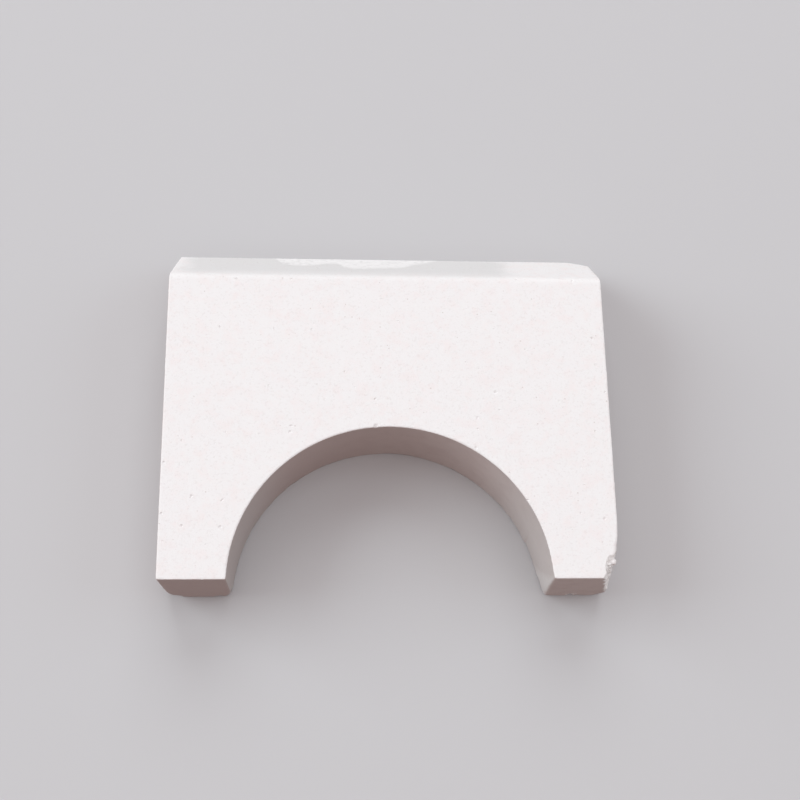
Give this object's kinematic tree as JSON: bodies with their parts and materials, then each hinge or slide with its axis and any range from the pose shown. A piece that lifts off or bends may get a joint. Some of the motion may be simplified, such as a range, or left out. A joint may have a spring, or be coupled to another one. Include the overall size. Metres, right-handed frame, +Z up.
{
  "type": "arched firebrick",
  "caption": "Pale refractory stove brick: a flat cast plate with a half-round arch cut through its front edge and a bevel along its upper back edge.",
  "frame": {"origin": "middle of the bounding rectangle of the bed face, on the surface that the brick lies on", "axes": "+X along the length, +Y from the arch to the bevelled edge, +Z up through the thickness"},
  "size_m": [0.2, 0.165, 0.04],
  "materials": {
    "refractory": "matt cast refractory, off-white with a faint pink cast, fine pores and grog specks"
  },
  "bodies": {
    "root": {"firebrick": "refractory"}
  },
  "joints": []
}
